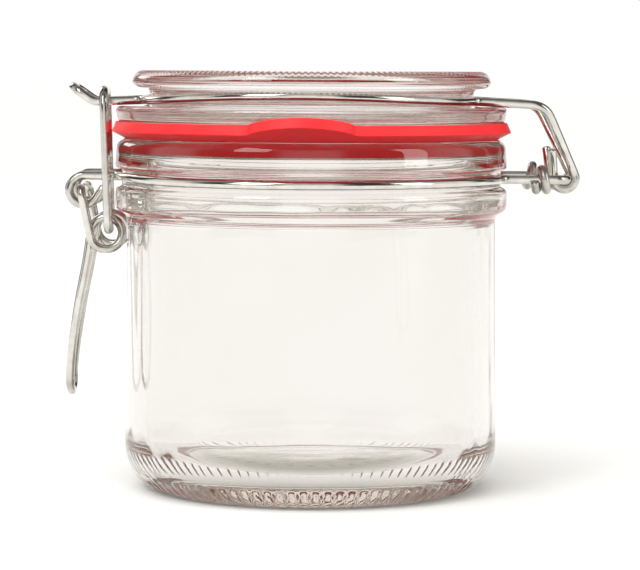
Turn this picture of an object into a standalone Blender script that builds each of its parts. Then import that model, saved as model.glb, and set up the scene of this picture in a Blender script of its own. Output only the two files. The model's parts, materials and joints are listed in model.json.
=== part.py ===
"""Clip-top glass canister: a pressed-glass jar and lid, a rubber gasket with a pull
tab, and five bent-wire pieces that hinge and clamp the lid.

Frame: metres, +Z up. The origin is under the middle of the whole canister, in the
plane of the jar's bearing ring. Dimensions are taken from the jar's own axis, which
the empty jar_axis carries. The hinge is on the +X side, the latch on the -X side, the
gasket's pull tab faces -Y. The lid is shut and the latch is closed.

Run with: blender --background --python part.py
"""

import math

import bmesh
import bpy
from mathutils import Vector

MM = 0.001
AXIS_AT = (-2.6, 2.3)     # the jar's axis, from under the middle of the canister

# ---------------------------------------------------------------- dimensions, mm
WIRE_R = 1.05             # steel wire, 2.1 mm
TURN = 54                 # segments of the turned glass

BASE_RING_R = (33.4, 35.8)
HEEL = (8.7, 11.0)        # width and height of the rounded heel
BODY_R = (44.5, 44.0)     # at the heel, under the bead
BORE_R = 40.3
MOUTH_R = 39.0
BEAD_R = 46.6
NECK_R = 45.1             # floor of the groove that the neck wire sits in
RIM_Z = 83.0
LID_Z = (79.0, 99.4)      # bottom of the plug, top of the stacking ring
LID_TOP_R = 42.7
LID_GROOVE_R = 38.6
LID_FLANGE_R = 46.5

GASKET_IN_R = 39.6
GASKET_OUT_R = 47.5
SEAT_SLOPE = 0.64         # of the lid's cone over the gasket; the rim's under it is steeper
TAB_REACH = 4.6
TAB_AT = math.radians(-92.8)
TAB_HALF = math.radians(14.6)

HINGE = (59.9, 74.3)      # x, z of the hinge axis
NECK_RING_R = 46.45       # centreline of the neck wire in its groove
NECK_Y = 14.0             # half distance of its strands at the hinge
EYE = (-53.5, 71.2)       # x, z of the latch eyes
EYE_R, EYE_Y = 3.45, 9.2

LID_RING_R = 40.0         # centreline of the lid wire in its groove
LID_WIRE_Y = 13.0
HOOK_R, HOOK_Y = 2.55, 6.3
NOSE_Y = 5.4

LEVER = (-54.1, 71.6)     # x, z of the lever's trunnions, in the eyes
LOOP = (-48.2, 61.1)      # x, z of the lever's loops
LOOP_R = 3.75
LINK = (-48.15, 62.0)     # x, z of the link's trunnions, in the loops
LINK_Y, LINK_TOP_Z, LINK_SKEW = 14.2, 94.8, 0.65

TIE_X, TIE_R = 55.05, 2.45


# ---------------------------------------------------------------- scene and materials
def clear_scene():
    for obj in list(bpy.data.objects):
        bpy.data.objects.remove(obj, do_unlink=True)


def principled(name, color, roughness, metallic=0.0, transmission=0.0, ior=1.45):
    mat = bpy.data.materials.new(name)
    mat.use_nodes = True
    shader = mat.node_tree.nodes["Principled BSDF"]
    shader.inputs["Base Color"].default_value = (*color, 1.0)
    shader.inputs["Roughness"].default_value = roughness
    shader.inputs["Metallic"].default_value = metallic
    shader.inputs["Transmission Weight"].default_value = transmission
    shader.inputs["IOR"].default_value = ior
    return mat


def pivot(name, x, z):
    """An empty on a joint axis, which runs along Y."""
    empty = bpy.data.objects.new(name, None)
    empty.empty_display_type = "ARROWS"
    empty.empty_display_size = 0.01
    empty.location = (x * MM, 0.0, z * MM)
    bpy.context.collection.objects.link(empty)
    return empty


def place(obj, parent, mat):
    bpy.context.collection.objects.link(obj)
    obj.data.materials.append(mat)
    if parent is not None:
        obj.parent = parent
    return obj


def local(points, parent):
    """Points in mm, moved to metres about the parent's own origin."""
    base = parent.location if parent is not None else Vector()
    return [Vector(p) * MM - base for p in points]


# ---------------------------------------------------------------- turned glass
def turned(name, profile, mat, parent=None):
    """A solid of revolution: the profile runs down its outer side, in mm (r, z)."""
    base = parent.location if parent is not None else Vector()
    mesh = bpy.data.meshes.new(name)
    bm = bmesh.new()
    verts = [bm.verts.new((r * MM, 0.0, z * MM - base.z)) for r, z in profile]
    for a, b in zip(verts, verts[1:]):
        bm.edges.new((a, b))
    bm.to_mesh(mesh)
    bm.free()
    obj = bpy.data.objects.new(name, mesh)
    place(obj, parent, mat)
    if parent is not None:
        obj.location = (-base.x, -base.y, 0.0)
    screw = obj.modifiers.new("turn", "SCREW")
    screw.axis = "Z"
    screw.angle = math.tau
    screw.steps = screw.render_steps = TURN
    screw.use_merge_vertices = True
    screw.merge_threshold = 0.00001
    screw.use_smooth_shade = True
    return obj


def ellipse(cx, cz, rx, rz, start, end, steps):
    """Points on an axis-aligned ellipse, in degrees from +r towards +z."""
    found = []
    for i in range(steps + 1):
        a = math.radians(start + (end - start) * i / steps)
        found.append((cx + rx * math.cos(a), cz + rz * math.sin(a)))
    return found


def jar_profile():
    inside = [(0.0, 6.4), (18.0, 6.0), (30.0, 5.6)]
    inside += ellipse(BORE_R - 8.0, 13.6, 8.0, 8.0, -80, 0, 5)
    inside += [(BORE_R, 62.0), (BORE_R - 0.2, 66.0), (MOUTH_R + 0.3, 71.0), (MOUTH_R, 74.0)]
    rim = [(MOUTH_R, 78.7), (39.12, 79.15), (39.6, 79.59), (43.9, 83.03)]
    rim += ellipse(43.85, 80.9, 2.45, 2.45, 68, 8, 3) + [(46.45, 78.8), (BEAD_R, 77.0)]
    groove = [(46.4, 76.5), (45.4, 76.1), (NECK_R, 75.6), (NECK_R, 72.5), (45.4, 72.1), (46.3, 71.7)]
    bead = [(BEAD_R, 71.0), (BEAD_R, 67.4), (46.2, 66.5), (45.0, 65.7), (BODY_R[1], 64.8)]
    heel = ellipse(BASE_RING_R[1], HEEL[1], BODY_R[0] - BASE_RING_R[1], HEEL[1], 0, -90, 6)
    foot = [(BASE_RING_R[0], 0.0), (32.4, 1.2), (29.0, 2.0), (16.0, 2.5), (0.0, 2.6)]
    return inside + rim + groove + bead + heel + foot


def lid_profile():
    top = [(0.0, 95.2), (27.0, 95.2), (34.0, 95.7), (36.4, 97.2), (37.3, 98.9), (38.0, LID_Z[1])]
    top += [(40.6, LID_Z[1]), (41.6, 98.9), (42.5, 97.9), (LID_TOP_R, 97.0), (42.4, 96.1), (41.3, 95.4)]
    groove = [(39.0, 95.2), (LID_GROOVE_R, 94.8), (LID_GROOVE_R, 91.5), (39.1, 91.1)]
    flange = [(45.5, 91.0), (46.3, 90.7), (LID_FLANGE_R, 90.1), (46.2, 89.2), (46.15, 88.4)]
    under = [(45.7, 87.75 - 0.8 * SEAT_SLOPE), (39.4, 87.75 - 7.1 * SEAT_SLOPE)]
    plug = [(38.6, 82.4), (38.2, 81.5), (38.05, 79.9), (37.6, 79.2), (36.7, LID_Z[0]), (35.7, 79.2)]
    dish = [(35.0, 80.2), (34.5, 84.0), (32.8, 87.8), (28.0, 90.2), (15.0, 90.9), (0.0, 91.0)]
    return top + groove + flange + under + plug + dish


# ---------------------------------------------------------------- gasket
def smooth(t):
    t = min(max(t, 0.0), 1.0)
    return t * t * (3 - 2 * t)


def tab_reach(angle):
    away = abs(math.remainder(angle - TAB_AT, math.tau)) / TAB_HALF
    return TAB_REACH * max(0.0, 1.0 - away * away) ** 0.8


def gasket_section(angle):
    """A flat washer squeezed between the two cones, with its free edge sticking out."""
    e = tab_reach(angle)
    return [
        (GASKET_IN_R, 79.98),
        (44.0, 83.5),
        (45.2, 84.05),
        (GASKET_OUT_R + e, 85.05 + 0.40 * e),
        (46.5 + e, 87.35 + 0.41 * e),
        (44.6, 87.35 - 1.9 * SEAT_SLOPE),
        (43.0, 87.35 - 3.5 * SEAT_SLOPE),
        (GASKET_IN_R - 0.2, 87.35 - 7.1 * SEAT_SLOPE),
    ]


def gasket(name, mat, parent):
    around = 84
    base = parent.location
    mesh = bpy.data.meshes.new(name)
    bm = bmesh.new()
    rings = []
    for i in range(around):
        a = math.tau * i / around
        rings.append(
            [
                bm.verts.new(Vector((r * math.cos(a), r * math.sin(a), z)) * MM - base)
                for r, z in gasket_section(a)
            ]
        )
    for i, ring in enumerate(rings):
        after = rings[(i + 1) % around]
        for k in range(len(ring)):
            n = (k + 1) % len(ring)
            bm.faces.new((ring[k], after[k], after[n], ring[n]))
    bmesh.ops.recalc_face_normals(bm, faces=bm.faces)
    bm.to_mesh(mesh)
    bm.free()
    mesh.shade_smooth()
    mesh.set_sharp_from_angle(angle=math.radians(40))
    return place(bpy.data.objects.new(name, mesh), parent, mat)


# ---------------------------------------------------------------- bent wire
def bent(corners, step=24.0):
    """The centreline of a wire through corners [(point, bend radius)], in mm."""
    points = [Vector(corners[0][0])]
    for (before, _), (at, radius), (after, _) in zip(corners, corners[1:], corners[2:]):
        before, at, after = Vector(before), Vector(at), Vector(after)
        if radius <= 0:
            points.append(at)
            continue
        u, v = (before - at).normalized(), (after - at).normalized()
        half = u.angle(v) / 2
        setback = radius / math.tan(half)
        centre = at + (u + v).normalized() * (radius / math.sin(half))
        start, end = at + u * setback, at + v * setback
        turn = (start - centre).angle(end - centre)
        axis = (start - centre).cross(end - centre).normalized()
        count = max(2, math.ceil(math.degrees(turn) / step))
        for i in range(count + 1):
            a = turn * i / count
            arm = start - centre
            points.append(centre + arm * math.cos(a) + axis.cross(arm) * math.sin(a))
    points.append(Vector(corners[-1][0]))
    return points


def loop(cx, cz, radius, start, end, y0, y1, steps):
    """A turn of wire about an axis along Y, in degrees from +X towards +Z."""
    found = []
    for i in range(steps + 1):
        t = i / steps
        a = math.radians(start + (end - start) * t)
        found.append((cx + radius * math.cos(a), y0 + (y1 - y0) * t, cz + radius * math.sin(a)))
    return found


def ring(radius, start, end, height, steps):
    """Part of a ring round the jar's axis; height gives z from 0 to 1 along it."""
    found = []
    for i in range(steps + 1):
        t = i / steps
        a = math.radians(start + (end - start) * t)
        found.append((radius * math.cos(a), radius * math.sin(a), height(t)))
    return found


def spline(points, per=4):
    """A smooth curve through points (Catmull-Rom)."""
    pts = [Vector(p) for p in points]
    pts = [2 * pts[0] - pts[1]] + pts + [2 * pts[-1] - pts[-2]]
    found = []
    for a, b, c, d in zip(pts, pts[1:], pts[2:], pts[3:]):
        for i in range(per):
            t = i / per
            found.append(
                0.5 * (2 * b + (c - a) * t + (2 * a - 5 * b + 4 * c - d) * t * t
                       + (3 * b - a - 3 * c + d) * t ** 3)
            )
    found.append(pts[-2])
    return found


def mirrored(points):
    """The near half of a wire, then its mirror image, end to end."""
    near = [Vector(p) for p in points]
    far = [Vector((p.x, -p.y, p.z)) for p in reversed(near)]
    if abs(near[-1].y) < 1e-6:
        far = far[1:]
    return near + far


def merged(points, least=0.12):
    kept = [Vector(points[0])]
    for p in points[1:]:
        if (Vector(p) - kept[-1]).length >= least:
            kept.append(Vector(p))
    return kept


def wire(name, points, mat, parent=None):
    points = local(merged(points), parent)
    curve = bpy.data.curves.new(name, "CURVE")
    curve.dimensions = "3D"
    curve.bevel_depth = WIRE_R * MM
    curve.bevel_resolution = 2
    curve.use_fill_caps = True
    line = curve.splines.new("POLY")
    line.points.add(len(points) - 1)
    for point, p in zip(line.points, points):
        point.co = (*p, 1.0)
    line.use_smooth = True
    return place(bpy.data.objects.new(name, curve), parent, mat)


def on_ring(radius, y):
    """The azimuth in degrees, between -180 and 0, of the ring's point at y < 0."""
    return math.degrees(math.asin(y / radius))


def ring_point(radius, angle, z):
    a = math.radians(angle)
    return (radius * math.cos(a), radius * math.sin(a), z)


def neck_wire_path():
    """From the near eye's tail round the front to the hinge, and back on the far side."""
    ex, ez = EYE
    eye = loop(ex, ez, EYE_R, 327, 96, -EYE_Y, -EYE_Y, 14)
    a = math.radians(327)
    tail = (ex - 3.2 * math.sin(a) + EYE_R * math.cos(a), -EYE_Y,
            ez + 3.2 * math.cos(a) + EYE_R * math.sin(a))
    left = -180 - on_ring(NECK_RING_R, -EYE_Y)
    right = on_ring(NECK_RING_R, -NECK_Y)
    lead = bent([((ex + 2.0, -EYE_Y, ez + EYE_R), 0),
                 ((-math.sqrt(NECK_RING_R ** 2 - EYE_Y ** 2), -EYE_Y, 74.6), 2.0),
                 (ring_point(NECK_RING_R, left + 6, 74.55), 0)])

    def height(t):
        return 73.95 + (0.6 if t < 0.5 else 0.3) * (2 * t - 1) ** 2

    front = ring(NECK_RING_R, left + 7, right - 7, height, 26)
    hinge = bent([(ring_point(NECK_RING_R, right - 6, 74.25), 0),
                  ((math.sqrt(NECK_RING_R ** 2 - NECK_Y ** 2), -NECK_Y, HINGE[1]), 3.0),
                  ((HINGE[0], -NECK_Y, HINGE[1]), 2.6),
                  ((HINGE[0], 0.0, HINGE[1]), 0)])
    return mirrored([tail] + eye + lead + front + hinge)


def lid_wire_path():
    """From the near hook's tail over the hinge, round the lid's groove to the nose."""
    hx, hz = HINGE
    hook = loop(hx, hz, HOOK_R, 178, 385, -HOOK_Y, -HOOK_Y, 12)
    exit_x = math.sqrt(LID_RING_R ** 2 - LID_WIRE_Y ** 2)
    right = on_ring(LID_RING_R, -LID_WIRE_Y)
    left = -180 - on_ring(LID_RING_R, -NOSE_Y)
    over = bent([(hook[-1], 0), ((54.7, -LID_WIRE_Y, 91.6), 5.0),
                 ((exit_x, -LID_WIRE_Y, 92.5), 3.0),
                 (ring_point(LID_RING_R, right - 7, 92.5), 0)])
    front = ring(LID_RING_R, right - 8, left + 6,
                 lambda t: 92.5 + 1.2 * math.sin(math.pi * t) ** 2, 24)
    nose = bent([(ring_point(LID_RING_R, left + 5, 92.5), 0),
                 ((-math.sqrt(LID_RING_R ** 2 - NOSE_Y ** 2), -NOSE_Y, 92.45), 2.6),
                 ((-51.6, -NOSE_Y, 91.95), 4.0),
                 ((-56.5, -NOSE_Y + 0.3, 95.5), 3.2),
                 ((-56.5, 0.0, 95.5), 0)])
    tail = [(hx - HOOK_R - 0.6, -HOOK_Y - 2.2, 81.3), (hx - HOOK_R - 0.1, -HOOK_Y - 0.5, 76.4)]
    return mirrored(tail + hook + over[1:] + front + nose)


def lever_wire_path():
    """From the near trunnion down the arm, once round the loop and down the handle."""
    px, pz = LEVER
    cx, cz = LOOP
    gap = math.hypot(cx - px, cz - pz)
    aim = math.atan2(cz - pz, cx - px) - math.asin(LOOP_R / gap)
    reach = math.sqrt(gap ** 2 - LOOP_R ** 2)
    touch = (px + reach * math.cos(aim), -11.2, pz + reach * math.sin(aim))
    start = math.degrees(math.atan2(touch[2] - cz, touch[0] - cx)) % 360
    turn = loop(cx, cz, LOOP_R, start, 528, -11.2, -8.5, 20)
    arm = bent([((px, -7.5, pz), 0), ((px, -12.0, pz), 1.7), (touch, 0)])
    leave = turn[-1]
    handle = spline([leave, (-53.1, -8.3, 53.8), (-55.0, -7.8, 44.1), (-56.5, -6.9, 34.5),
                     (-57.1, -5.6, 28.6)], 3)
    u = [(-57.2 + 0.1 * (1 - math.cos(a)), -4.6 * math.cos(a) - 0.6 * math.cos(a) ** 3,
          26.6 - 3.9 * math.sin(a))
         for a in (math.radians(90 * i / 6) for i in range(7))]
    return mirrored(arm[:-1] + turn + handle[1:] + u)


def link_wire_path():
    """A stirrup: the crossbar hooks the nose, both feet turn in through the loops."""
    near, far = LINK[0] + LINK_SKEW, LINK[0] - LINK_SKEW
    rise = -1.05
    return bent([((near, -7.2, LINK[1]), 0), ((near, -LINK_Y, LINK[1]), 1.8),
                 ((near + rise, -LINK_Y, LINK_TOP_Z), 4.0),
                 ((far + rise, LINK_Y, LINK_TOP_Z), 4.0),
                 ((far, LINK_Y, LINK[1]), 1.8), ((far, 7.2, LINK[1]), 0)])


def tie_wire_path():
    """Lashes the neck wire's two strands together just short of the hinge."""
    near = []
    for i in range(23):
        turn = 1.22 * (1 - i / 22)
        a = math.radians(-90) - math.tau * turn
        near.append((TIE_X - 2.4 * turn, -NECK_Y + TIE_R * math.cos(a), HINGE[1] + TIE_R * math.sin(a)))
    return mirrored(near + [(TIE_X, -NECK_Y / 2, HINGE[1] - TIE_R), (TIE_X, 0.0, HINGE[1] - TIE_R)])


def main():
    clear_scene()
    glass = principled("clear_glass", (0.93, 0.94, 0.90), 0.03, transmission=1.0, ior=1.52)
    lid_glass = principled("clear_glass_lid", (0.94, 0.93, 0.90), 0.04, transmission=1.0, ior=1.52)
    red = principled("red_rubber", (0.85, 0.03, 0.04), 0.5)
    steel = principled("bright_steel", (0.72, 0.71, 0.68), 0.22, metallic=1.0)
    dull = principled("tie_steel", (0.66, 0.65, 0.62), 0.3, metallic=1.0)

    lid = pivot("lid_hinge_axis", *HINGE)
    lever = pivot("lever_pivot_axis", *LEVER)
    link = pivot("link_pivot_axis", *LINK)
    axis = pivot("jar_axis", 0.0, 0.0)

    turned("glass_jar", jar_profile(), glass)
    turned("glass_lid", lid_profile(), lid_glass, lid)
    gasket("rubber_gasket", red, lid)
    wire("neck_wire", neck_wire_path(), steel)
    wire("hinge_tie_wire", tie_wire_path(), dull)
    wire("lid_wire", lid_wire_path(), steel, lid)
    wire("lever_wire", lever_wire_path(), steel, lever)
    wire("link_wire", link_wire_path(), steel, link)

    for obj in list(bpy.data.objects):
        if obj.parent is None and obj is not axis:
            obj.parent = axis
    axis.location = (AXIS_AT[0] * MM, AXIS_AT[1] * MM, 0.0)


main()
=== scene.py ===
"""Looks for the clip-top glass canister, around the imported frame.

Everything is in metres in the frame's own axes. Lengths below are in mm and MM
turns them into metres. The glass, gasket and wires are rebuilt finely on the
same centrelines and profiles as the CAD nodes they replace.
"""

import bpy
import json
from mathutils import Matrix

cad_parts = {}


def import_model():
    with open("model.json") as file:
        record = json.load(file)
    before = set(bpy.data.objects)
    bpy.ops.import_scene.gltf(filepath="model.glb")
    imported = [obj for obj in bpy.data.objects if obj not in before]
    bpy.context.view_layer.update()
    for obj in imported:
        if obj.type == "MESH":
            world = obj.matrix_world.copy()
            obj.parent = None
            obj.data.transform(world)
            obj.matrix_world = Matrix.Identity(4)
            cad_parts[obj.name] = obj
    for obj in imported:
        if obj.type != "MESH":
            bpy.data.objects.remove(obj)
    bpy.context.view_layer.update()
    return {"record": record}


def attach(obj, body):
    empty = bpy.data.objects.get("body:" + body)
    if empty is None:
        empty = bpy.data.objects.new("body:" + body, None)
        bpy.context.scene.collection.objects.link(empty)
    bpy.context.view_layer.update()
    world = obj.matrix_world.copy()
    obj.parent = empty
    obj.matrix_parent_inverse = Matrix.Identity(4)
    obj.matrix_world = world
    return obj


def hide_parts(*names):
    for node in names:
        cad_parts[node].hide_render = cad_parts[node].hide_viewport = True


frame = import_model()

import json
import math

import bmesh
import bpy
import numpy as np
from mathutils import Matrix, Vector, noise

MM = 0.001
AXIS_AT = (-2.6, 2.3)      # the jar's own axis in the frame; every piece is built round it
JOINTS = {j["name"]: j for j in frame["record"]["behaviour"]["joints"]}


def joint_xz(name):
    x, _, z = JOINTS[name]["pos_m"]
    return x / MM - AXIS_AT[0], z / MM


# ------------------------------------------------------------ shared dimensions, mm
WIRE_R = 1.05
BASE_RING_R = (33.4, 35.8)
HEEL = (8.7, 11.0)
BODY_R = (44.5, 44.0)
BORE_R, MOUTH_R, BEAD_R, NECK_R = 40.3, 39.0, 46.6, 45.1
RIM_Z = 83.0
LID_Z = (79.0, 99.4)
LID_TOP_R, LID_GROOVE_R, LID_FLANGE_R = 42.7, 38.6, 46.5
GASKET_IN_R, GASKET_OUT_R, TAB_REACH = 39.6, 47.5, 4.6
SEAT_SLOPE = 0.64          # of the lid's cone over the gasket; the rim's under it is steeper
TAB_AT = math.radians(-92.8)
TAB_HALF = math.radians(14.6)
HINGE = joint_xz("lid_hinge")
LEVER = joint_xz("lever_pivot")
LINK = joint_xz("link_pivot")
NECK_RING_R, NECK_Y = 46.45, 14.0
EYE, EYE_R, EYE_Y = (-53.5, 71.2), 3.45, 9.2
LID_RING_R, LID_WIRE_Y, HOOK_R, HOOK_Y, NOSE_Y = 40.0, 13.0, 2.55, 6.3, 5.4
LOOP, LOOP_R = (-48.2, 61.1), 3.75
LINK_Y, LINK_TOP_Z, LINK_SKEW = 14.2, 94.8, 0.65
TIE_X, TIE_R = 55.05, 2.45


# ------------------------------------------------------------ node helpers
def nodes_of(mat):
    mat.use_nodes = True
    tree = mat.node_tree
    tree.nodes.clear()
    out = tree.nodes.new("ShaderNodeOutputMaterial")
    return tree, out


def add(tree, kind, **values):
    node = tree.nodes.new(kind)
    for key, value in values.items():
        if key in node.inputs:
            node.inputs[key].default_value = value
        else:
            setattr(node, key, value)
    return node


def ramp(tree, stops):
    node = tree.nodes.new("ShaderNodeValToRGB")
    el = node.color_ramp.elements
    el[0].position, el[0].color = stops[0][0], (*stops[0][1], 1)
    el[1].position, el[1].color = stops[-1][0], (*stops[-1][1], 1)
    for at, color in stops[1:-1]:
        new = el.new(at)
        new.color = (*color, 1)
    return node


def span(tree, source, low, high, from_low=0.0, from_high=1.0):
    node = add(tree, "ShaderNodeMapRange")
    node.inputs["From Min"].default_value = from_low
    node.inputs["From Max"].default_value = from_high
    node.inputs["To Min"].default_value = low
    node.inputs["To Max"].default_value = high
    tree.links.new(source, node.inputs["Value"])
    return node.outputs["Result"]


# ------------------------------------------------------------ materials
def glass_material(name, absorb, density, tint_low, tint_high):
    """Pressed soda-lime glass: clear, faintly warm in depth, with a slow ripple and light handling haze."""
    mat = bpy.data.materials.new(name)
    tree, out = nodes_of(mat)
    bsdf = add(tree, "ShaderNodeBsdfPrincipled")
    bsdf.inputs["IOR"].default_value = 1.52
    bsdf.inputs["Transmission Weight"].default_value = 1.0
    where = add(tree, "ShaderNodeTexCoord")

    drift = add(tree, "ShaderNodeTexNoise")
    drift.inputs["Scale"].default_value = 26.0
    drift.inputs["Detail"].default_value = 2.0
    tree.links.new(where.outputs["Object"], drift.inputs["Vector"])
    tint = ramp(tree, [(0.35, tint_low), (0.7, tint_high)])
    tree.links.new(drift.outputs["Fac"], tint.inputs["Fac"])
    tree.links.new(tint.outputs["Color"], bsdf.inputs["Base Color"])

    haze = add(tree, "ShaderNodeTexNoise")
    haze.inputs["Scale"].default_value = 55.0
    haze.inputs["Detail"].default_value = 5.0
    haze.inputs["Roughness"].default_value = 0.65
    tree.links.new(where.outputs["Object"], haze.inputs["Vector"])
    tree.links.new(span(tree, haze.outputs["Fac"], 0.0, 0.035, 0.45, 0.8), bsdf.inputs["Roughness"])

    stretch = add(tree, "ShaderNodeMapping")
    stretch.inputs["Scale"].default_value = (1.0, 1.0, 0.28)
    tree.links.new(where.outputs["Object"], stretch.inputs["Vector"])
    ripple = add(tree, "ShaderNodeTexNoise")
    ripple.inputs["Scale"].default_value = 95.0
    ripple.inputs["Detail"].default_value = 1.5
    ripple.inputs["Roughness"].default_value = 0.4
    tree.links.new(stretch.outputs["Vector"], ripple.inputs["Vector"])
    pips = add(tree, "ShaderNodeTexNoise")
    pips.inputs["Scale"].default_value = 900.0
    pips.inputs["Detail"].default_value = 2.0
    tree.links.new(where.outputs["Object"], pips.inputs["Vector"])
    slow = add(tree, "ShaderNodeBump")
    slow.inputs["Strength"].default_value = 0.35
    slow.inputs["Distance"].default_value = 0.00022
    tree.links.new(ripple.outputs["Fac"], slow.inputs["Height"])
    fine = add(tree, "ShaderNodeBump")
    fine.inputs["Strength"].default_value = 0.06
    fine.inputs["Distance"].default_value = 0.00002
    tree.links.new(pips.outputs["Fac"], fine.inputs["Height"])
    tree.links.new(slow.outputs["Normal"], fine.inputs["Normal"])
    tree.links.new(fine.outputs["Normal"], bsdf.inputs["Normal"])

    depth = add(tree, "ShaderNodeVolumeAbsorption")
    depth.inputs["Color"].default_value = (*absorb, 1)
    depth.inputs["Density"].default_value = density
    tree.links.new(bsdf.outputs["BSDF"], out.inputs["Surface"])
    tree.links.new(depth.outputs["Volume"], out.inputs["Volume"])
    return mat


def steel_material(name, light, dark, rough_low, rough_high):
    """Bright plated spring wire: draw lines along it, cloudy plating, duller where it was bent."""
    mat = bpy.data.materials.new(name)
    tree, out = nodes_of(mat)
    bsdf = add(tree, "ShaderNodeBsdfPrincipled")
    bsdf.inputs["Metallic"].default_value = 1.0
    uv = add(tree, "ShaderNodeUVMap")
    uv.uv_map = "wire"
    lines = add(tree, "ShaderNodeMapping")
    lines.inputs["Scale"].default_value = (0.35, 46.0, 1.0)
    tree.links.new(uv.outputs["UV"], lines.inputs["Vector"])
    draw = add(tree, "ShaderNodeTexNoise")
    draw.inputs["Scale"].default_value = 1.0
    draw.inputs["Detail"].default_value = 4.0
    draw.inputs["Roughness"].default_value = 0.7
    tree.links.new(lines.outputs["Vector"], draw.inputs["Vector"])

    where = add(tree, "ShaderNodeTexCoord")
    cloud = add(tree, "ShaderNodeTexNoise")
    cloud.inputs["Scale"].default_value = 420.0
    cloud.inputs["Detail"].default_value = 6.0
    cloud.inputs["Roughness"].default_value = 0.6
    tree.links.new(where.outputs["Object"], cloud.inputs["Vector"])

    bend = add(tree, "ShaderNodeAttribute")
    bend.attribute_name = "bend"
    wear = add(tree, "ShaderNodeMath", operation="MULTIPLY_ADD")
    tree.links.new(bend.outputs["Fac"], wear.inputs[0])
    wear.inputs[1].default_value = 0.35
    tree.links.new(cloud.outputs["Fac"], wear.inputs[2])

    tint = ramp(tree, [(0.3, light), (0.75, tuple((a + b) / 2 for a, b in zip(light, dark))), (1.0, dark)])
    tree.links.new(wear.outputs["Value"], tint.inputs["Fac"])
    tree.links.new(tint.outputs["Color"], bsdf.inputs["Base Color"])
    mixed = add(tree, "ShaderNodeMath", operation="ADD")
    tree.links.new(wear.outputs["Value"], mixed.inputs[0])
    tree.links.new(span(tree, draw.outputs["Fac"], -0.2, 0.2), mixed.inputs[1])
    tree.links.new(span(tree, mixed.outputs["Value"], rough_low, rough_high, 0.3, 1.0), bsdf.inputs["Roughness"])

    grooves = add(tree, "ShaderNodeBump")
    grooves.inputs["Strength"].default_value = 0.25
    grooves.inputs["Distance"].default_value = 0.00003
    tree.links.new(draw.outputs["Fac"], grooves.inputs["Height"])
    pits = add(tree, "ShaderNodeTexNoise")
    pits.inputs["Scale"].default_value = 2600.0
    pits.inputs["Detail"].default_value = 3.0
    tree.links.new(where.outputs["Object"], pits.inputs["Vector"])
    pit = add(tree, "ShaderNodeBump")
    pit.inputs["Strength"].default_value = 0.12
    pit.inputs["Distance"].default_value = 0.00002
    tree.links.new(pits.outputs["Fac"], pit.inputs["Height"])
    tree.links.new(grooves.outputs["Normal"], pit.inputs["Normal"])
    tree.links.new(pit.outputs["Normal"], bsdf.inputs["Normal"])
    tree.links.new(bsdf.outputs["BSDF"], out.inputs["Surface"])
    return mat


def rubber_material(name):
    """Red moulded rubber: even bright red, fine matt grain and faint bloom."""
    mat = bpy.data.materials.new(name)
    tree, out = nodes_of(mat)
    bsdf = add(tree, "ShaderNodeBsdfPrincipled")
    bsdf.inputs["IOR"].default_value = 1.5
    bsdf.inputs["Specular IOR Level"].default_value = 0.35
    where = add(tree, "ShaderNodeTexCoord")
    bloom = add(tree, "ShaderNodeTexNoise")
    bloom.inputs["Scale"].default_value = 140.0
    bloom.inputs["Detail"].default_value = 6.0
    bloom.inputs["Roughness"].default_value = 0.6
    tree.links.new(where.outputs["Object"], bloom.inputs["Vector"])
    tint = ramp(tree, [(0.3, (0.86, 0.014, 0.019)), (0.6, (0.92, 0.020, 0.026)), (0.85, (0.94, 0.040, 0.046))])
    tree.links.new(bloom.outputs["Fac"], tint.inputs["Fac"])
    tree.links.new(tint.outputs["Color"], bsdf.inputs["Base Color"])
    tree.links.new(span(tree, bloom.outputs["Fac"], 0.42, 0.62, 0.3, 0.75), bsdf.inputs["Roughness"])
    grain = add(tree, "ShaderNodeTexNoise")
    grain.inputs["Scale"].default_value = 3200.0
    grain.inputs["Detail"].default_value = 3.0
    tree.links.new(where.outputs["Object"], grain.inputs["Vector"])
    bump = add(tree, "ShaderNodeBump")
    bump.inputs["Strength"].default_value = 0.25
    bump.inputs["Distance"].default_value = 0.00003
    tree.links.new(grain.outputs["Fac"], bump.inputs["Height"])
    tree.links.new(bump.outputs["Normal"], bsdf.inputs["Normal"])
    tree.links.new(bsdf.outputs["BSDF"], out.inputs["Surface"])
    return mat


# ------------------------------------------------------------ mesh helpers
def new_object(name, mesh, mat):
    mesh.materials.append(mat)
    mesh.transform(Matrix.Translation((AXIS_AT[0] * MM, AXIS_AT[1] * MM, 0.0)))
    obj = bpy.data.objects.new(name, mesh)
    bpy.context.scene.collection.objects.link(obj)
    return obj


def grid_mesh(name, rows, close_rows, close_cols, smooth=True):
    """A mesh over rows of points (numpy, in mm); each may wrap round."""
    rows = np.asarray(rows, float)
    n, m, _ = rows.shape
    mesh = bpy.data.meshes.new(name)
    i = np.arange(n if close_rows else n - 1)
    j = np.arange(m if close_cols else m - 1)
    a, b = np.meshgrid(i, j, indexing="ij")
    an, bn = (a + 1) % n, (b + 1) % m
    faces = np.stack([a * m + b, an * m + b, an * m + bn, a * m + bn], -1).reshape(-1, 4)
    mesh.from_pydata((rows.reshape(-1, 3) * MM).tolist(), [], faces.tolist())
    if smooth:
        mesh.shade_smooth()
    return mesh


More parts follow.
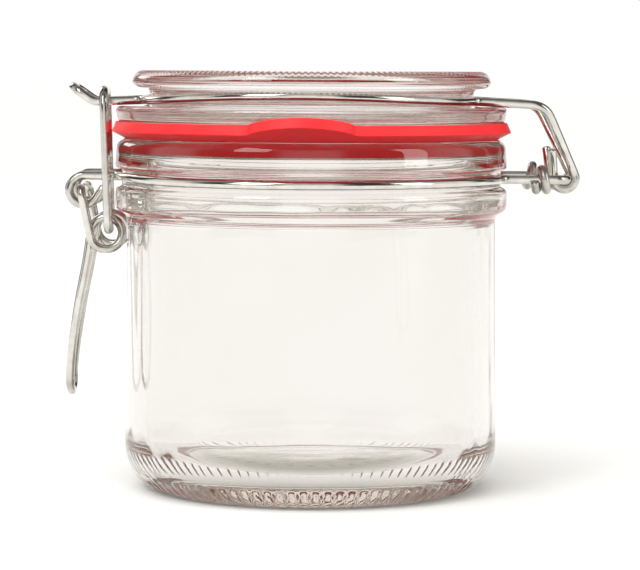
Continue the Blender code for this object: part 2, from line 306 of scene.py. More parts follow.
def turned(name, profile, around, shape, mat):
    """A turned solid whose profile may vary round the axis. Profile points are
    (r, z, tag); shape(r, z, tag, angle) gives the r and z used at that angle."""
    first, last = profile[0], profile[-1]
    body = [p for p in profile if p[0] > 1e-6]
    verts, faces = [], []
    for i in range(around):
        a = math.tau * i / around
        c, s = math.cos(a), math.sin(a)
        for r, z, tag in body:
            r2, z2 = shape(r, z, tag, a)
            verts.append((r2 * c * MM, r2 * s * MM, z2 * MM))
    m = len(body)
    for i in range(around):
        n = (i + 1) % around
        for k in range(m - 1):
            faces.append((i * m + k, i * m + k + 1, n * m + k + 1, n * m + k))
    start, end = len(verts), len(verts) + 1
    verts += [(0, 0, first[1] * MM), (0, 0, last[1] * MM)]
    for i in range(around):
        n = (i + 1) % around
        faces.append((i * m, n * m, start))
        faces.append((n * m + m - 1, i * m + m - 1, end))
    mesh = bpy.data.meshes.new(name)
    mesh.from_pydata(verts, [], faces)
    bm = bmesh.new()
    bm.from_mesh(mesh)
    bmesh.ops.recalc_face_normals(bm, faces=bm.faces)
    bm.to_mesh(mesh)
    bm.free()
    mesh.shade_smooth()
    return new_object(name, mesh, mat)


def curve_through(points, least):
    """A smooth profile through (r, z, tag) points, with a point at least every so many mm."""
    pts = [Vector((r, z)) for r, z, _ in points]
    tags = [t for _, _, t in points]
    out = []
    ext = [2 * pts[0] - pts[1]] + pts + [2 * pts[-1] - pts[-2]]
    for k in range(len(pts) - 1):
        a, b, c, d = ext[k], ext[k + 1], ext[k + 2], ext[k + 3]
        long = (c - b).length
        steps = max(1, round(long / least))
        # centripetal knots, so that close points don't make the curve swing out
        t0 = 0.0
        t1 = t0 + max((b - a).length, 1e-6) ** 0.5
        t2 = t1 + max(long, 1e-6) ** 0.5
        t3 = t2 + max((d - c).length, 1e-6) ** 0.5
        for i in range(steps):
            t = t1 + (t2 - t1) * i / steps
            a1 = a * ((t1 - t) / (t1 - t0)) + b * ((t - t0) / (t1 - t0))
            a2 = b * ((t2 - t) / (t2 - t1)) + c * ((t - t1) / (t2 - t1))
            a3 = c * ((t3 - t) / (t3 - t2)) + d * ((t - t2) / (t3 - t2))
            b1 = a1 * ((t2 - t) / (t2 - t0)) + a2 * ((t - t0) / (t2 - t0))
            b2 = a2 * ((t3 - t) / (t3 - t1)) + a3 * ((t - t1) / (t3 - t1))
            p = b1 * ((t2 - t) / (t2 - t1)) + b2 * ((t - t1) / (t2 - t1))
            out.append((max(p.x, 0.0), p.y, tags[k]))
    out.append((pts[-1].x, pts[-1].y, tags[-1]))
    return out


def ellipse(cx, cz, rx, rz, start, end, steps, tag):
    found = []
    for i in range(steps + 1):
        a = math.radians(start + (end - start) * i / steps)
        found.append((cx + rx * math.cos(a), cz + rz * math.sin(a), tag))
    return found


# ------------------------------------------------------------ glass
def smooth(t):
    t = min(max(t, 0.0), 1.0)
    return t * t * (3 - 2 * t)


def band(value, low, high, soft):
    return smooth((value - low) / soft) * smooth((high - value) / soft)


def jar_seat(r):
    """The cone on the jar's rim that the gasket is squeezed on to."""
    return 79.59 + (r - 39.6) * 0.80


def lid_seat(r):
    return 87.75 - (46.5 - r) * SEAT_SLOPE


def jar_profile():
    inside = [(0.0, 6.4, "floor"), (9.0, 6.3, "floor"), (18.0, 6.0, "floor"), (26.0, 5.65, "floor"), (31.0, 5.65, "floor")]
    inside += ellipse(BORE_R - 8.0, 13.6, 8.0, 8.0, -72, 0, 8, "bore")
    inside += [(BORE_R, 18.0, "bore"), (BORE_R, 30.0, "bore"), (BORE_R, 46.0, "bore"), (BORE_R, 60.0, "bore"),
               (BORE_R - 0.15, 65.0, "bore"), (BORE_R - 0.6, 69.0, "mouth"), (MOUTH_R + 0.15, 72.5, "mouth"),
               (MOUTH_R, 75.5, "mouth"), (MOUTH_R, 78.0, "mouth"), (39.04, 78.75, "mouth"), (39.2, 79.2, "mouth")]
    rim = [(r, jar_seat(r), "rim") for r in (39.65, 41.0, 42.6, 43.9)]
    rim += ellipse(43.85, 80.95, 2.45, 2.5, 74, 6, 8, "rim")
    rim += [(46.42, 79.4, "out"), (46.5, 78.2, "out"), (BEAD_R, 77.2, "out"), (46.55, 76.8, "out")]
    groove = [(46.2, 76.42, "out"), (45.6, 76.15, "out"), (45.2, 75.8, "out"), (NECK_R, 75.2, "out"), (NECK_R, 74.0, "out"),
              (NECK_R, 72.8, "out"), (45.2, 72.3, "out"), (45.7, 71.95, "out"), (46.2, 71.72, "out"), (46.5, 71.3, "out")]
    bead = [(BEAD_R, 70.6, "out"), (46.62, 69.0, "out"), (46.6, 67.6, "out"), (46.4, 66.85, "out"), (45.9, 66.3, "out"),
            (45.1, 65.8, "out"), (44.35, 65.25, "out"), (44.02, 64.4, "out"), (BODY_R[1], 63.0, "out")]
    side = [(44.05, 56.0, "out"), (44.15, 46.0, "out"), (44.3, 34.0, "out"), (44.42, 22.0, "out"), (44.48, 15.0, "out")]
    heel = ellipse(BASE_RING_R[1], HEEL[1], BODY_R[0] - BASE_RING_R[1], HEEL[1] - 0.0, 0, -86, 14, "heel")
    foot = [(BASE_RING_R[1], 0.0, "ring"), (34.9, 0.0, "ring"), (34.1, 0.02, "ring"), (BASE_RING_R[0], 0.12, "ring"),
            (32.9, 0.6, "punt"), (32.2, 1.3, "punt"), (30.6, 1.85, "punt"), (27.0, 2.15, "punt"),
            (16.0, 2.5, "punt"), (8.0, 2.58, "punt"), (0.0, 2.6, "punt")]
    return curve_through(inside + rim + groove + bead + side + heel + foot, 0.85)


BARS = 96          # radial bars of the bearing ring
TEETH = 180        # knurl of the lid's stacking ring


def bars(angle):
    """1 on a bar, 0 in the narrow groove between two, with rounded flanks."""
    t = (angle * BARS / math.tau) % 1.0
    return smooth(min(t, 1 - t) * 4.2)


def jar_shape(r, z, tag, angle):
    c, s = math.cos(angle), math.sin(angle)
    if tag in ("bore", "floor"):
        # the plunger's side cooled unevenly: long vertical ripples, deepest halfway down
        v = noise.noise(Vector((c * 3.1, s * 3.1, z * 0.012))) * 0.18
        v += noise.noise(Vector((c * 9.0 + 7, s * 9.0, z * 0.02))) * 0.08
        grow = smooth((r - 22.0) / 14.0) * smooth((72.0 - z) / 10.0)
        r += v * grow
        z += noise.noise(Vector((c * r * 0.06, s * r * 0.06, 4.0))) * 0.22 * (1 - smooth((r - 30.0) / 6.0)) * smooth(r / 4.0)
    elif tag in ("out", "heel") and z < 63.0:
        v = noise.noise(Vector((c * 2.4 + 20, s * 2.4, z * 0.015)))
        r += (v - 1.0) * 0.03 * smooth((63.0 - z) / 6.0)
    if tag in ("heel", "ring", "punt"):
        # radial bars on the bearing ring, running up on to the heel
        here = band(r, 36.2, 42.6, 1.2) * (1.0 - bars(angle))
        z += 0.38 * here
        r -= 0.34 * here * smooth((r - 36.5) / 4.0)
    if tag == "punt":
        # small round mould pips, in place of any lettering
        for ring_r, count, turn in ((24.0, 30, 0.0), (18.5, 3, 0.4)):
            t = (angle * count / math.tau + turn) % 1.0
            along = (t - 0.5) * math.tau * ring_r / count
            away = math.hypot(along, r - ring_r)
            z -= 0.30 * smooth(1.0 - away / 1.1)
    return r, z


def lid_profile():
    top = [(0.0, 95.2, "top"), (10.0, 95.2, "top"), (20.0, 95.2, "top"), (28.0, 95.22, "top"), (32.5, 95.45, "top"),
           (34.6, 95.95, "top"), (36.0, 96.8, "top"), (36.9, 97.9, "ring"), (37.5, 98.9, "ring"), (38.0, 99.32, "ring"),
           (38.6, LID_Z[1], "ring"), (39.5, LID_Z[1], "ring"), (40.4, LID_Z[1], "ring"), (41.1, 99.15, "ring"),
           (41.8, 98.65, "ring"), (42.4, 97.9, "out"), (LID_TOP_R, 97.0, "out"), (42.62, 96.4, "out"),
           (42.3, 95.85, "out"), (41.6, 95.45, "out"), (40.6, 95.3, "out")]
    groove = [(39.5, 95.2, "out"), (38.95, 95.0, "out"), (38.65, 94.6, "out"), (LID_GROOVE_R, 93.8, "out"),
              (LID_GROOVE_R, 92.5, "out"), (38.66, 91.8, "out"), (38.95, 91.35, "out"), (39.5, 91.1, "out")]
    flange = [(41.5, 91.02, "out"), (44.0, 91.0, "out"), (45.4, 90.98, "out"), (46.05, 90.8, "out"), (46.4, 90.4, "out"),
              (LID_FLANGE_R, 89.9, "out"), (46.38, 89.4, "out"), (46.22, 89.0, "out"), (46.17, 88.5, "out"), (46.05, 88.0, "out")]
    under = [(r, lid_seat(r), "under") for r in (45.7, 45.1, 43.5, 41.8, 40.4, 39.5)] + [(38.95, 82.78, "under")]
    plug = [(38.5, 82.2, "under"), (38.2, 81.3, "under"), (38.1, 80.4, "under"), (38.0, 79.9, "under"), (37.7, 79.4, "under"),
            (37.2, 79.1, "under"), (36.6, LID_Z[0], "under"), (36.0, 79.1, "under"), (35.5, 79.4, "under"), (35.15, 80.0, "under")]
    dish = [(34.95, 81.2, "dish"), (34.7, 83.2, "dish"), (34.2, 85.3, "dish"), (33.0, 87.5, "dish"), (31.0, 89.0, "dish"),
            (28.0, 90.0, "dish"), (22.0, 90.65, "dish"), (14.0, 90.9, "dish"), (7.0, 90.98, "dish"), (0.0, 91.0, "dish")]
    return curve_through(top + groove + flange + under + plug + dish, 0.75)


def lid_shape(r, z, tag, angle):
    c, s = math.cos(angle), math.sin(angle)
    if tag == "ring":
        t = (angle * TEETH / math.tau) % 1.0
        tooth = 0.5 - 0.5 * math.cos(math.tau * t)
        z -= 0.26 * tooth * band(r, 37.6, 42.0, 0.7) * smooth((z - 97.6) / 1.0)
    elif tag in ("top", "dish"):
        z += noise.noise(Vector((c * r * 0.07 + 3, s * r * 0.07, 9.0 if tag == "top" else 2.0))) * 0.10 * smooth(r / 5.0) * smooth((33.0 - r) / 6.0)
    return r, z


# ------------------------------------------------------------ gasket
def tab_reach(angle):
    """A rounded tongue, with a small fillet where it leaves the ring."""
    away = abs(math.remainder(angle - TAB_AT, math.tau)) / TAB_HALF
    inner = max(0.0, 1.0 - away * away) ** 0.8
    fillet = 0.10 * smooth((1.18 - away) / 0.30)
    return TAB_REACH * min(1.0, max(inner, 0.93 * inner + fillet * (1.0 - inner)))


def gasket_section(angle):
    """Corners of the washer's section, squeezed flat against the jar's and the lid's
    cones so that the red shows through the glass; rounded a little by the caller."""
    e = tab_reach(angle)
    return [(GASKET_IN_R, jar_seat(GASKET_IN_R) - 0.02), (42.9, jar_seat(42.9) - 0.02), (43.9, jar_seat(43.9) - 0.02), (44.8, 83.62),
            (GASKET_OUT_R + e, 85.05 + 0.40 * e), (46.5 + e, 87.35 + 0.41 * e), (45.75, 87.24), (45.2, 86.94),
            (43.0, 87.77 - 3.5 * SEAT_SLOPE), (GASKET_IN_R - 0.2, 87.77 - 7.1 * SEAT_SLOPE)]


def rounded_loop(points, radius, steps=4):
    """A closed section with its sharp corners rounded."""
    out = []
    n = len(points)
    for k in range(n):
        before, at, after = Vector(points[k - 1]), Vector(points[k]), Vector(points[(k + 1) % n])
        u, v = before - at, after - at
        turn = u.angle(v)
        if turn > math.radians(140):
            out.append(tuple(at))
            continue
        cut = min(radius / math.tan(turn / 2), u.length * 0.4, v.length * 0.4)
        p, q = at + u.normalized() * cut, at + v.normalized() * cut
        for i in range(steps + 1):
            t = i / steps
            out.append(tuple((1 - t) ** 2 * p + 2 * t * (1 - t) * at + t * t * q))
    return out


def gasket_object(name, mat):
    around = 720
    rows = []
    for i in range(around):
        a = math.tau * i / around
        sec = rounded_loop(gasket_section(a), 0.22)
        wob = noise.noise(Vector((math.cos(a) * 2.2, math.sin(a) * 2.2, 5.0))) * 0.10
        row = []
        for r, z in sec:
            row.append((r * math.cos(a), r * math.sin(a), z + (wob - 0.05) * smooth((r - 45.6) / 1.4)))
        rows.append(row)
    mesh = grid_mesh(name, rows, True, True)
    bm = bmesh.new()
    bm.from_mesh(mesh)
    bmesh.ops.recalc_face_normals(bm, faces=bm.faces)
    bm.to_mesh(mesh)
    bm.free()
    mesh.shade_smooth()
    mesh.set_sharp_from_angle(angle=math.radians(50))
    return new_object(name, mesh, mat)


# ------------------------------------------------------------ wires
def bent(corners, step=6.0):
    points = [Vector(corners[0][0])]
    for (before, _), (at, radius), (after, _) in zip(corners, corners[1:], corners[2:]):
        before, at, after = Vector(before), Vector(at), Vector(after)
        u, v = (before - at).normalized(), (after - at).normalized()
        half = u.angle(v) / 2
        centre = at + (u + v).normalized() * (radius / math.sin(half))
        start, end = at + u * (radius / math.tan(half)), at + v * (radius / math.tan(half))
        turn = (start - centre).angle(end - centre)
        axis = (start - centre).cross(end - centre).normalized()
        count = max(3, math.ceil(math.degrees(turn) / step))
        for i in range(count + 1):
            a = turn * i / count
            arm = start - centre
            points.append(centre + arm * math.cos(a) + axis.cross(arm) * math.sin(a))
    points.append(Vector(corners[-1][0]))
    return points


def loop(cx, cz, radius, start, end, y0, y1, steps):
    found = []
    for i in range(steps + 1):
        t = i / steps
        a = math.radians(start + (end - start) * t)
        found.append((cx + radius * math.cos(a), y0 + (y1 - y0) * t, cz + radius * math.sin(a)))
    return found


def ring(radius, start, end, height, steps):
    found = []
    for i in range(steps + 1):
        t = i / steps
        a = math.radians(start + (end - start) * t)
        found.append((radius * math.cos(a), radius * math.sin(a), height(t)))
    return found


def spline(points, per=8):
    pts = [Vector(p) for p in points]
    pts = [2 * pts[0] - pts[1]] + pts + [2 * pts[-1] - pts[-2]]
    found = []
    for a, b, c, d in zip(pts, pts[1:], pts[2:], pts[3:]):
        for i in range(per):
            t = i / per
            found.append(0.5 * (2 * b + (c - a) * t + (2 * a - 5 * b + 4 * c - d) * t * t
                                + (3 * b - a - 3 * c + d) * t ** 3))
    found.append(pts[-2])
    return found


def mirrored(points):
    near = [Vector(p) for p in points]
    far = [Vector((p.x, -p.y, p.z)) for p in reversed(near)]
    if abs(near[-1].y) < 1e-6:
        far = far[1:]
    return near + far


def on_ring(radius, y):
    return math.degrees(math.asin(y / radius))


def ring_point(radius, angle, z):
    a = math.radians(angle)
    return (radius * math.cos(a), radius * math.sin(a), z)


def neck_wire_path():
    ex, ez = EYE
    eye = loop(ex, ez, EYE_R, 327, 92, -EYE_Y, -EYE_Y, 46)
    a = math.radians(327)
    tail = [(ex + EYE_R * math.cos(a) - d * math.sin(a), -EYE_Y, ez + EYE_R * math.sin(a) + d * math.cos(a))
            for d in (3.2, 2.1, 1.0)]
    left = -180 - on_ring(NECK_RING_R, -EYE_Y)
    right = on_ring(NECK_RING_R, -NECK_Y)
    lead = bent([((ex + 1.2, -EYE_Y, ez + EYE_R), 0),
                 ((-math.sqrt(NECK_RING_R ** 2 - EYE_Y ** 2), -EYE_Y, 74.6), 2.0),
                 (ring_point(NECK_RING_R, left + 6, 74.55), 0)])

    def height(t):
        return 73.95 + (0.6 if t < 0.5 else 0.3) * (2 * t - 1) ** 2

    front = ring(NECK_RING_R, left + 7, right - 7, height, 110)
    hinge = bent([(ring_point(NECK_RING_R, right - 6, 74.25), 0),
                  ((math.sqrt(NECK_RING_R ** 2 - NECK_Y ** 2), -NECK_Y, HINGE[1]), 3.0),
                  ((HINGE[0], -NECK_Y, HINGE[1]), 2.6), ((HINGE[0], 0.0, HINGE[1]), 0)])
    return mirrored(tail + eye + lead + front + hinge)


def lid_wire_path():
    hx, hz = HINGE
    hook = loop(hx, hz, HOOK_R, 178, 385, -HOOK_Y, -HOOK_Y, 40)
    exit_x = math.sqrt(LID_RING_R ** 2 - LID_WIRE_Y ** 2)
    right = on_ring(LID_RING_R, -LID_WIRE_Y)
    left = -180 - on_ring(LID_RING_R, -NOSE_Y)
    over = bent([(hook[-1], 0), ((54.7, -LID_WIRE_Y, 91.6), 5.0), ((exit_x, -LID_WIRE_Y, 92.5), 3.0),
                 (ring_point(LID_RING_R, right - 7, 92.5), 0)])
    front = ring(LID_RING_R, right - 8, left + 6, lambda t: 92.5 + 1.2 * math.sin(math.pi * t) ** 2, 110)
    nose = bent([(ring_point(LID_RING_R, left + 5, 92.5), 0),
                 ((-math.sqrt(LID_RING_R ** 2 - NOSE_Y ** 2), -NOSE_Y, 92.45), 2.6),
                 ((-51.6, -NOSE_Y, 91.95), 4.0), ((-56.5, -NOSE_Y + 0.3, 95.5), 3.2), ((-56.5, 0.0, 95.5), 0)])
    tail = [(hx - HOOK_R - 0.6, -HOOK_Y - 2.2, 81.3), (hx - HOOK_R - 0.45, -HOOK_Y - 1.5, 79.4),
            (hx - HOOK_R - 0.25, -HOOK_Y - 0.85, 77.6), (hx - HOOK_R - 0.08, -HOOK_Y - 0.25, 75.6)]
    return mirrored(tail + hook + over[1:] + front + nose)


def lever_wire_path():
    px, pz = LEVER
    cx, cz = LOOP
    gap = math.hypot(cx - px, cz - pz)
    aim = math.atan2(cz - pz, cx - px) - math.asin(LOOP_R / gap)
    reach = math.sqrt(gap ** 2 - LOOP_R ** 2)
    touch = (px + reach * math.cos(aim), -11.2, pz + reach * math.sin(aim))
    start = math.degrees(math.atan2(touch[2] - cz, touch[0] - cx)) % 360
    turn = loop(cx, cz, LOOP_R, start, 528, -11.2, -8.5, 70)
    arm = bent([((px, -7.5, pz), 0), ((px, -12.0, pz), 1.7), (touch, 0)])
    handle = spline([turn[-1], (-53.1, -8.3, 53.8), (-55.0, -7.8, 44.1), (-56.5, -6.9, 34.5), (-57.1, -5.6, 28.6)], 10)
    u = [(-57.2 + 0.1 * (1 - math.cos(a)), -4.6 * math.cos(a) - 0.6 * math.cos(a) ** 3, 26.6 - 3.9 * math.sin(a))
         for a in (math.radians(90 * i / 22) for i in range(23))]
    return mirrored(arm[:-1] + turn + handle[1:] + u)


def link_wire_path():
    near, far = LINK[0] + LINK_SKEW, LINK[0] - LINK_SKEW
    rise = -1.05
    return bent([((near, -7.2, LINK[1]), 0), ((near, -LINK_Y, LINK[1]), 1.8),
                 ((near + rise, -LINK_Y, LINK_TOP_Z), 4.0), ((far + rise, LINK_Y, LINK_TOP_Z), 4.0),
                 ((far, LINK_Y, LINK[1]), 1.8), ((far, 7.2, LINK[1]), 0)])


def tie_wire_path():
    near = []
    for i in range(73):
        turn = 1.22 * (1 - i / 72)
        a = math.radians(-90) - math.tau * turn
        near.append((TIE_X - 2.4 * turn, -NECK_Y + TIE_R * math.cos(a), HINGE[1] + TIE_R * math.sin(a)))
    return mirrored(near + [(TIE_X, -NECK_Y * t, HINGE[1] - TIE_R) for t in (0.8, 0.6, 0.4, 0.2, 0.0)])


def evened(points, least=0.16, most=1.3):
    """Near-repeats dropped, long straights divided, and kinks softened a little."""
    kept = [Vector(points[0])]
    for p in points[1:]:
        p = Vector(p)
        long = (p - kept[-1]).length
        if long < least:
            continue
        parts = max(1, math.ceil(long / most))
        base = kept[-1].copy()
        for i in range(1, parts + 1):
            kept.append(base.lerp(p, i / parts))
    for _ in range(3):
        kept = [kept[0]] + [(a + 2 * b + c) / 4 for a, b, c in zip(kept, kept[1:], kept[2:])] + [kept[-1]]
    return kept


def wire_object(name, path, mat, sides=20):
    """A swept tube with its cut ends slightly rounded over, a 'wire' UV map
    (mm along it, turn round it) and a 'bend' attribute."""
    pts = evened(path)
    n = len(pts)
    tangents = [(pts[min(i + 1, n - 1)] - pts[max(i - 1, 0)]).normalized() for i in range(n)]
    up = Vector((0, 0, 1)) if abs(tangents[0].z) < 0.9 else Vector((1, 0, 0))
    normal = (up - tangents[0] * up.dot(tangents[0])).normalized()
    frames = []
    for t in tangents:
        normal = (normal - t * normal.dot(t)).normalized()
        frames.append((normal.copy(), t.cross(normal)))
    along, lengths = 0.0, []
    for i in range(n):
        if i:
            along += (pts[i] - pts[i - 1]).length
        lengths.append(along)
    bends = []
    for i in range(n):
        a, b = tangents[max(i - 2, 0)], tangents[min(i + 2, n - 1)]
        d = max((pts[min(i + 2, n - 1)] - pts[max(i - 2, 0)]).length, 0.1)
        bends.append(min(1.0, a.angle(b, 0.0) / d * 3.2))
    # stations: cut end, chamfer, body, chamfer, cut end
    stations = [(0, -0.0, 0.0), (0, 0.0, 0.80), (0, 0.09, 0.95), (0, 0.26, 1.0)]
    stations += [(i, 0.0, 1.0) for i in range(1, n - 1)]
    stations += [(n - 1, -0.26, 1.0), (n - 1, -0.09, 0.95), (n - 1, 0.0, 0.80), (n - 1, 0.0, 0.0)]
    verts, uvs, bend = [], [], []
    for i, shift, scale in stations:
        u, v = frames[i]
        centre = pts[i] + tangents[i] * shift
        for k in range(sides):
            a = math.tau * k / sides
            wobble = 1.0 + 0.006 * noise.noise(Vector((lengths[i] * 0.35, k * 0.9, 3.0)))
            verts.append((centre + (u * math.cos(a) + v * math.sin(a)) * WIRE_R * scale * min(wobble, 1.0)) * MM)
            uvs.append((lengths[i] + shift, k / sides))
            bend.append(bends[i])
    faces, wrap = [], []
    for i in range(len(stations) - 1):
        for k in range(sides):
            m = (k + 1) % sides
            quad = (i * sides + k, i * sides + m, (i + 1) * sides + m, (i + 1) * sides + k)
            faces.append(quad)
            wrap.append(m == 0)
    mesh = bpy.data.meshes.new(name)
    mesh.from_pydata([tuple(v) for v in verts], [], faces)
    layer = mesh.uv_layers.new(name="wire")
    for poly, wraps in zip(mesh.polygons, wrap):
        for loop_index in poly.loop_indices:
            at = mesh.loops[loop_index].vertex_index
            u, v = uvs[at]
            layer.data[loop_index].uv = (u, 1.0 if wraps and at % sides == 0 else v)
    attr = mesh.attributes.new("bend", "FLOAT", "POINT")
    attr.data.foreach_set("value", bend)
    bm = bmesh.new()
    bm.from_mesh(mesh)
    bmesh.ops.remove_doubles(bm, verts=bm.verts, dist=1e-7)
    bmesh.ops.recalc_face_normals(bm, faces=bm.faces)
    bm.to_mesh(mesh)
    bm.free()
    mesh.shade_smooth()
    mesh.set_sharp_from_angle(angle=math.radians(45))
    return new_object(name, mesh, mat)


# ------------------------------------------------------------ build the pieces
jar_glass = glass_material("jar_glass", (0.80, 0.75, 0.69), 22.0, (0.975, 0.978, 0.965), (0.99, 0.99, 0.985))
lid_glass = glass_material("lid_glass", (0.82, 0.755, 0.70), 14.0, (0.975, 0.975, 0.965), (0.99, 0.99, 0.985))
bright = steel_material("bright_wire", (0.70, 0.685, 0.65), (0.40, 0.385, 0.35), 0.08, 0.24)
dull = steel_material("tie_wire", (0.62, 0.605, 0.57), (0.38, 0.365, 0.33), 0.16, 0.38)
red = rubber_material("gasket_rubber")


def piece(obj, body, node):
    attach(obj, body)
    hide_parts(node)
    return obj


piece(turned("jar", jar_profile(), 576, jar_shape, jar_glass), "jar", "glass_jar")
piece(turned("lid", lid_profile(), 720, lid_shape, lid_glass), "lid", "glass_lid")
piece(gasket_object("gasket", red), "lid", "rubber_gasket")
piece(wire_object("neck_wire_fine", neck_wire_path(), bright), "jar", "neck_wire")
piece(wire_object("hinge_tie_fine", tie_wire_path(), dull), "jar", "hinge_tie_wire")
piece(wire_object("lid_wire_fine", lid_wire_path(), bright), "lid", "lid_wire")
piece(wire_object("lever_fine", lever_wire_path(), bright), "lever", "lever_wire")
piece(wire_object("link_fine", link_wire_path(), bright), "link", "link_wire")


# ------------------------------------------------------------ stage, light and camera
def floor():
    """A pale table. Through glass it glows a little, as it does over a light table,
    so that the thick base isn't black where no light sample finds its way under it.
    The glow carries a painted shadow, dark olive under the jar's base, and to
    bounced light the floor is a darker grey: painted shade for undersides lit from below."""
    mat = bpy.data.materials.new("pale_floor")
    tree, out = nodes_of(mat)
    paint = add(tree, "ShaderNodeBsdfPrincipled")
    paint.inputs["Roughness"].default_value = 0.7
    paint.inputs["Specular IOR Level"].default_value = 0.1
    paint.inputs["Base Color"].default_value = (0.80, 0.795, 0.785, 1)
    glow = add(tree, "ShaderNodeEmission")
    under = add(tree, "ShaderNodeTexCoord")
    about = add(tree, "ShaderNodeVectorMath", operation="DISTANCE")
    about.inputs[1].default_value = (AXIS_AT[0] * MM, AXIS_AT[1] * MM - 0.004, 0.0)
    tree.links.new(under.outputs["Object"], about.inputs[0])
    # painted shadow: the glow is dark olive under the jar's base and fades to the pale floor colour about 40 mm from
    # its axis
    painted_shadow = ramp(tree, [(0.0, (0.22, 0.20, 0.14)), (0.5, (0.27, 0.25, 0.185)), (0.9, (0.96, 0.935, 0.91))])
    tree.links.new(span(tree, about.outputs["Value"], 0.0, 1.0, 0.0, 0.042), painted_shadow.inputs["Fac"])
    tree.links.new(painted_shadow.outputs["Color"], glow.inputs["Color"])
    glow.inputs["Strength"].default_value = 1.04
    path = tree.nodes.new("ShaderNodeLightPath")
    share = add(tree, "ShaderNodeMath", operation="MULTIPLY", use_clamp=True)
    tree.links.new(path.outputs["Transmission Depth"], share.inputs[0])
    share.inputs[1].default_value = 0.85
    # painted shade: to diffuse bounces the floor is a dark grey instead of its pale colour, so undersides lit from
    # below, such as the gasket's, stay shaded
    bounce = add(tree, "ShaderNodeMix", data_type="RGBA")
    tree.links.new(path.outputs["Is Diffuse Ray"], bounce.inputs[0])
    bounce.inputs[6].default_value = (0.80, 0.795, 0.785, 1)
    bounce.inputs[7].default_value = (0.34, 0.33, 0.32, 1)
    tree.links.new(bounce.outputs[2], paint.inputs["Base Color"])
    mix = tree.nodes.new("ShaderNodeMixShader")
    tree.links.new(share.outputs["Value"], mix.inputs["Fac"])
    tree.links.new(paint.outputs["BSDF"], mix.inputs[1])
    tree.links.new(glow.outputs["Emission"], mix.inputs[2])
    tree.links.new(mix.outputs["Shader"], out.inputs["Surface"])
    bpy.ops.mesh.primitive_circle_add(vertices=96, radius=12.0, fill_type="NGON", location=(0, 0, -0.00005))
    obj = bpy.context.object
    obj.name = "studio_floor"
    obj.data.materials.append(mat)


def world():
    """A white studio with warm grey bands between the main directions and a greyer
    ceiling. The wires see the bands strongest, the glass sees them softly, and the
    camera sees plain white."""
    w = bpy.data.worlds.new("studio")
    bpy.context.scene.world = w
    w.use_nodes = True
    tree = w.node_tree
    tree.nodes.clear()
    out = tree.nodes.new("ShaderNodeOutputWorld")
    where = tree.nodes.new("ShaderNodeTexCoord")
    parts = tree.nodes.new("ShaderNodeSeparateXYZ")
    tree.links.new(where.outputs["Generated"], parts.inputs["Vector"])

    def calc(op, a, b=None):
        node = tree.nodes.new("ShaderNodeMath")
        node.operation = op
        for socket, value in zip(node.inputs, (a, b)):
            if value is None:
                continue
            if isinstance(value, (int, float)):
                socket.default_value = value
            else:
                tree.links.new(value, socket)
        return node.outputs["Value"]

    def step(value, low, high, at_low, at_high):
        node = tree.nodes.new("ShaderNodeMapRange")
        node.interpolation_type = "SMOOTHSTEP"
        for name, number in (("From Min", low), ("From Max", high), ("To Min", at_low), ("To Max", at_high)):
            node.inputs[name].default_value = number
        tree.links.new(value, node.inputs["Value"])
        return node.outputs["Result"]

    x, y, z = parts.outputs["X"], parts.outputs["Y"], parts.outputs["Z"]
    flat = calc("MAXIMUM", calc("ADD", calc("MULTIPLY", x, x), calc("MULTIPLY", y, y)), 0.0001)
    diagonal = calc("DIVIDE", calc("ABSOLUTE", calc("MULTIPLY", x, y)), flat)     # 0 on an axis, 0.5 between two
    shade = calc("MAXIMUM", step(diagonal, 0.30, 0.47, 0.0, 1.0), step(z, 0.30, 0.90, 0.0, 0.55))

    def backdrop(light, dark, strength, by=shade):
        mix = tree.nodes.new("ShaderNodeMix")
        mix.data_type = "RGBA"
        tree.links.new(by, mix.inputs[0])
        mix.inputs[6].default_value = (*light, 1)
        mix.inputs[7].default_value = (*dark, 1)
        node = tree.nodes.new("ShaderNodeBackground")
        node.inputs["Strength"].default_value = strength
        tree.links.new(mix.outputs[2], node.inputs["Color"])
        return node.outputs["Background"]

    def choose(ray, yes, no):
        node = tree.nodes.new("ShaderNodeMixShader")
        tree.links.new(calc("MINIMUM", path.outputs[ray], 1.0), node.inputs["Fac"])
        tree.links.new(no, node.inputs[1])
        tree.links.new(yes, node.inputs[2])
        return node.outputs["Shader"]

    soft = calc("MAXIMUM", step(diagonal, 0.26, 0.45, 0.0, 1.0), step(z, 0.50, 0.95, 0.0, 0.08))
    path = tree.nodes.new("ShaderNodeLightPath")
    seen = backdrop((1, 1, 1), (1, 1, 1), 1.0)
    through = backdrop((1.08, 1.06, 1.04), (0.26, 0.24, 0.19), 1.0, soft)
    hard = calc("MAXIMUM", step(diagonal, 0.20, 0.38, 0.0, 1.0), step(z, 0.25, 0.75, 0.0, 0.7))
    mirror = backdrop((1.12, 1.10, 1.07), (0.05, 0.047, 0.04), 1.0, hard)
    around = backdrop((1.0, 0.99, 0.97), (0.7, 0.69, 0.66), 0.95)
    result = choose("Is Glossy Ray", mirror, around)
    result = choose("Transmission Depth", through, result)
    result = choose("Is Camera Ray", seen, result)
    tree.links.new(result, out.inputs["Surface"])


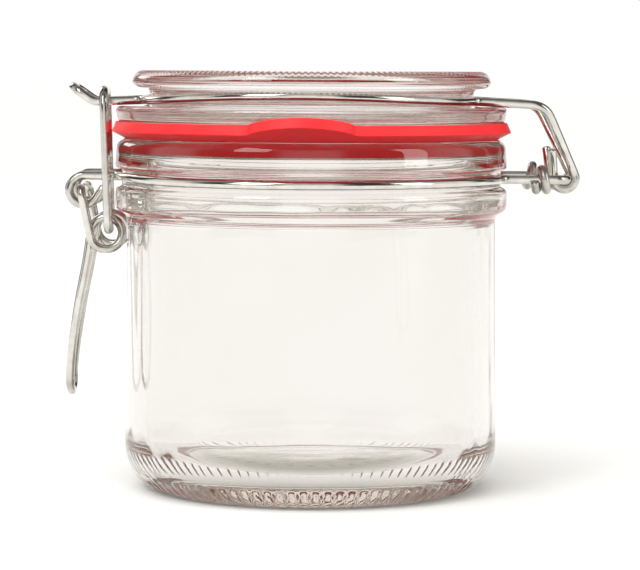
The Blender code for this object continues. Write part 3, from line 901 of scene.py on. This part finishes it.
def softbox(name, at, aim, size, power, color=(1, 1, 1)):
    data = bpy.data.lights.new(name, "AREA")
    data.shape = "RECTANGLE"
    data.size, data.size_y = size
    data.energy = power
    data.color = color
    obj = bpy.data.objects.new(name, data)
    obj.location = at
    obj.rotation_euler = (Vector(aim) - Vector(at)).to_track_quat("-Z", "Y").to_euler()
    obj.visible_transmission = False
    bpy.context.scene.collection.objects.link(obj)
    return obj


def sky():
    """An even soft light over the whole table, so that it runs out to white."""
    data = bpy.data.lights.new("sky", "SUN")
    data.energy = 2.1
    data.angle = math.radians(70)
    obj = bpy.data.objects.new("sky", data)
    obj.rotation_euler = (math.radians(28), math.radians(-18), 0)
    obj.visible_glossy = obj.visible_transmission = False
    bpy.context.scene.collection.objects.link(obj)


def camera():
    """Level with the lid's top, looking along +Y and tilted a little down."""
    focal_px, horizon, axis_x, roll = 2815.0, 71.0, 310.8, 0.0047
    data = bpy.data.cameras.new("camera")
    data.sensor_fit = "HORIZONTAL"
    data.sensor_width = 36.0
    data.lens = focal_px / 640.0 * 36.0
    data.clip_start, data.clip_end = 0.01, 60.0
    obj = bpy.data.objects.new("camera", data)
    tilt = math.atan((285.0 - horizon) / focal_px)
    yaw = math.atan((320.0 - axis_x) / focal_px)
    turn = Matrix.Rotation(-yaw, 4, "Z") @ Matrix.Rotation(math.pi / 2 - tilt, 4, "X") @ Matrix.Rotation(roll, 4, "Z")
    obj.matrix_world = Matrix.Translation((AXIS_AT[0] * MM, AXIS_AT[1] * MM - 0.672, 0.0994)) @ turn
    bpy.context.scene.collection.objects.link(obj)
    bpy.context.scene.camera = obj


floor()
world()
sky()
softbox("key_left", (-0.55, -0.75, 0.75), (0, 0, 0.05), (0.4, 0.8), 4.5, (1.0, 0.98, 0.95))
softbox("fill_right", (0.85, -0.45, 0.45), (0, 0, 0.05), (0.3, 0.7), 2.5, (1.0, 0.99, 0.97))
softbox("back_left", (-0.6, 0.8, 0.6), (0, 0, 0.05), (0.35, 0.7), 2.5, (1.0, 0.99, 0.97))
camera()
bpy.context.scene.view_settings.view_transform = "Standard"
# light runs along inside the thick base by many inner reflections
bpy.context.scene.cycles.max_bounces = 26
bpy.context.scene.cycles.glossy_bounces = 16
bpy.context.scene.cycles.transmission_bounces = 20
